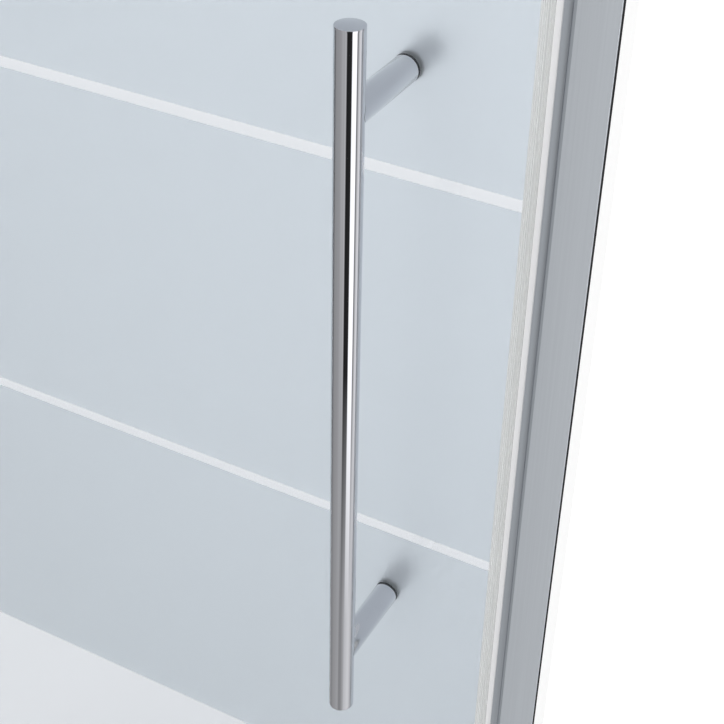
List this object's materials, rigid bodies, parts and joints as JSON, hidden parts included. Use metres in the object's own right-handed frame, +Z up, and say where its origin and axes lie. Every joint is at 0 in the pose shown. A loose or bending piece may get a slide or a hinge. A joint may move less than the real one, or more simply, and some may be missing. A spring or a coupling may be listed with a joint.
{
  "type": "pivot shower door",
  "caption": "Framed pivot shower door: glass panel with satin bands and a tall round bar handle, turning outward on pins in the header and threshold, with wall channels and magnetic strike.",
  "frame": {"origin": "on the threshold's underside, in the middle of the opening's width, on the glass's mid plane", "axes": "+X from the hinge wall to the strike wall seen from outside, +Y into the shower, +Z up"},
  "size_m": [0.8, 0.1226, 1.9],
  "materials": {
    "satin_aluminium": "satin anodised extrusion",
    "jamb_aluminium": "satin anodised extrusion, a shade darker",
    "cast_alloy": "die cast, as cast",
    "black_foam": "closed-cell foam tape",
    "white_seal": "jacketed magnetic strip",
    "clear_vinyl": "clear extruded seal",
    "clear_nylon": "translucent moulded nylon",
    "grey_plastic": "moulded, fine texture",
    "white_acetal": "machined acetal",
    "black_rubber": "matt",
    "stainless_steel": "machined",
    "clear_glass": "toughened clear glass, polished edges",
    "satin_glass": "satin etched band",
    "polished_chrome": "mirror polished",
    "brushed_ends": "satin turned end face"
  },
  "bodies": {
    "frame": {"strike_wall_channel": "satin_aluminium", "hinge_wall_channel": "satin_aluminium", "strike_wall_tape": "black_foam", "hinge_wall_tape": "black_foam", "strike_jamb": "jamb_aluminium", "hinge_jamb": "jamb_aluminium", "strike_jamb_cap": "grey_plastic", "hinge_jamb_cap": "grey_plastic", "strike_jamb_magnet": "white_seal", "hinge_jamb_infill": "grey_plastic", "header_rail": "satin_aluminium", "threshold_sill": "satin_aluminium", "strike_header_bracket": "cast_alloy", "hinge_header_bracket": "cast_alloy", "strike_sill_bracket": "cast_alloy", "hinge_sill_bracket": "cast_alloy", "jamb_bracket_screws": "stainless_steel", "rail_fixing_screws": "stainless_steel", "jamb_lock_screws": "stainless_steel", "lock_screw_caps": "grey_plastic", "upper_pivot_block": "cast_alloy", "lower_pivot_block": "cast_alloy", "upper_pivot_bush": "white_acetal", "lower_pivot_bush": "white_acetal", "thrust_washer": "stainless_steel", "pivot_block_screws": "stainless_steel", "header_stop": "jamb_aluminium", "stop_pad": "black_rubber", "stop_screws": "stainless_steel"},
    "door": {"glass_panel": "clear_glass", "satin_bands": "satin_glass", "strike_seal": "clear_vinyl", "strike_seal_magnet": "white_seal", "hinge_seal": "clear_vinyl", "bottom_sweep": "clear_vinyl", "upper_clamp_outer": "polished_chrome", "upper_clamp_inner": "polished_chrome", "upper_clamp_gaskets": "black_rubber", "upper_clamp_screws": "stainless_steel", "upper_pivot_pin": "stainless_steel", "lower_clamp_outer": "polished_chrome", "lower_clamp_inner": "polished_chrome", "lower_clamp_gaskets": "black_rubber", "lower_clamp_screws": "stainless_steel", "lower_pivot_pin": "stainless_steel", "clamp_sleeves": "clear_nylon", "pivot_grub_screws": "stainless_steel", "handle_bar": "polished_chrome", "handle_end_caps": "brushed_ends", "bar_inserts": "cast_alloy", "bar_screws": "stainless_steel", "upper_standoff": "polished_chrome", "lower_standoff": "polished_chrome", "standoff_inserts": "stainless_steel", "glass_studs": "stainless_steel", "glass_sleeves": "clear_nylon", "outer_gaskets": "black_rubber", "inner_gaskets": "black_rubber", "inner_knobs": "polished_chrome"}
  },
  "joints": [
    {"name": "door_pivot", "type": "hinge", "parent": "frame", "child": "door", "pos_m": [-0.296, 0, 0.94], "axis": [0, 0, -1], "range_deg": [0, 100]}
  ]
}
